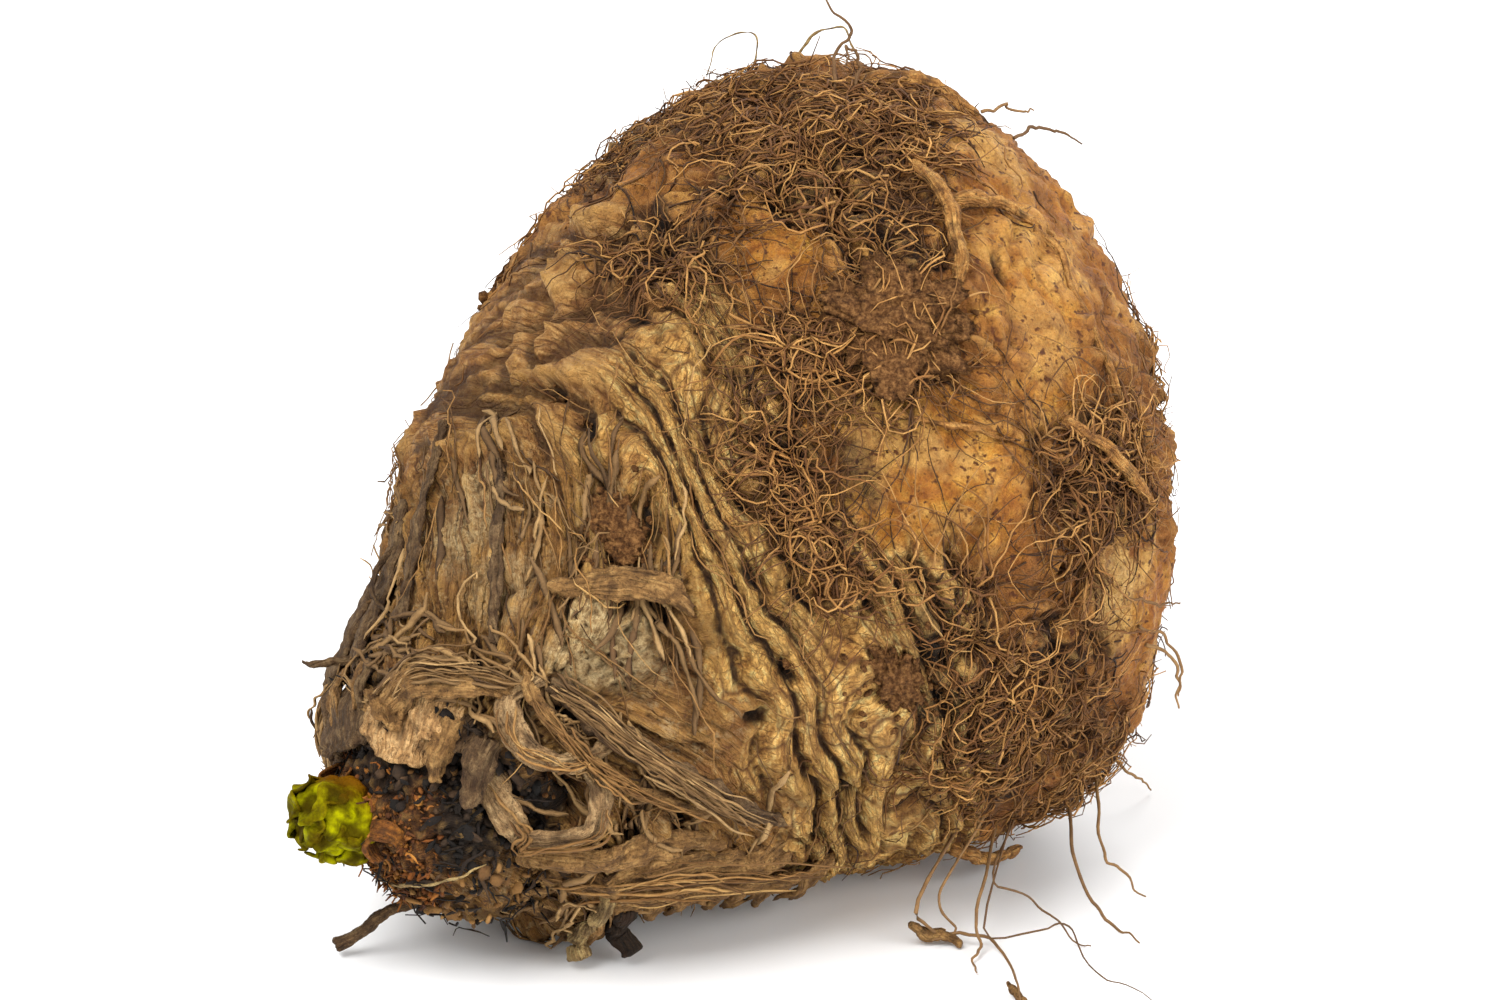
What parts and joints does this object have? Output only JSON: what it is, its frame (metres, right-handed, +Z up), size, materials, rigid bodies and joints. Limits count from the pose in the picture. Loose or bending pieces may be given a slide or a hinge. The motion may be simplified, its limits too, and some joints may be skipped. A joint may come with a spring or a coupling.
{
  "type": "baby celeriac",
  "caption": "Shrivelled young celeriac lying on its side, with a leafy crown, dry husks, matted rootlets and soil.",
  "frame": {"origin": "middle of the whole plant's footprint on the surface that it lies on", "axes": "+Z up; the crown points towards -X and -Y and about 26 degrees down, the root end towards +X and +Y"},
  "size_m": [0.071, 0.0756, 0.0718],
  "materials": {
    "corm": "dry, wrinkled, unvarnished skin",
    "sprout_leaf": "soft, slightly waxy young leaf",
    "stalk_stub": "dry and dull",
    "leaf_base": "dry, fibrous and dull",
    "stalk_strap": "dry, fibrous and dull",
    "side_root": "dry and dull",
    "soil_clod": "dry crumbly soil",
    "stray_root": "dry and dull",
    "root_mat": "fibrous and dull"
  },
  "bodies": {
    "root": {"corm": "corm", "sprout_leaf_1": "sprout_leaf", "sprout_leaf_2": "sprout_leaf", "sprout_leaf_3": "sprout_leaf", "sprout_leaf_4": "sprout_leaf", "sprout_leaf_5": "sprout_leaf", "sprout_leaf_6": "sprout_leaf", "stalk_stub_1": "stalk_stub", "stalk_stub_2": "stalk_stub", "stalk_stub_3": "stalk_stub", "stalk_stub_4": "stalk_stub", "leaf_base_1": "leaf_base", "leaf_base_2": "leaf_base", "leaf_base_3": "leaf_base", "leaf_base_4": "leaf_base", "leaf_base_5": "leaf_base", "leaf_base_6": "leaf_base", "leaf_base_7": "leaf_base", "leaf_base_8": "leaf_base", "leaf_base_9": "leaf_base", "leaf_base_10": "leaf_base", "stalk_strap_1": "stalk_strap", "stalk_strap_2": "stalk_strap", "stalk_strap_3": "stalk_strap", "stalk_strap_4": "stalk_strap", "stalk_strap_5": "stalk_strap", "side_root_1": "side_root", "side_root_2": "side_root", "side_root_3": "side_root", "side_root_4": "side_root", "side_root_5": "side_root", "side_root_6": "side_root", "side_root_7": "side_root", "side_root_8": "side_root", "side_root_9": "side_root", "soil_clod_1": "soil_clod", "soil_clod_2": "soil_clod", "soil_clod_3": "soil_clod", "soil_clod_4": "soil_clod", "soil_clod_5": "soil_clod", "stray_root_1": "stray_root", "stray_root_2": "stray_root", "stray_root_3": "stray_root", "stray_root_4": "stray_root", "stray_root_5": "stray_root", "stray_root_6": "stray_root", "stray_root_7": "stray_root", "root_mat_1": "root_mat", "root_mat_2": "root_mat", "root_mat_3": "root_mat", "root_mat_4": "root_mat", "root_mat_5": "root_mat", "root_mat_6": "root_mat", "root_mat_7": "root_mat", "root_mat_8": "root_mat", "root_mat_9": "root_mat", "root_mat_10": "root_mat", "root_mat_11": "root_mat"}
  },
  "joints": []
}
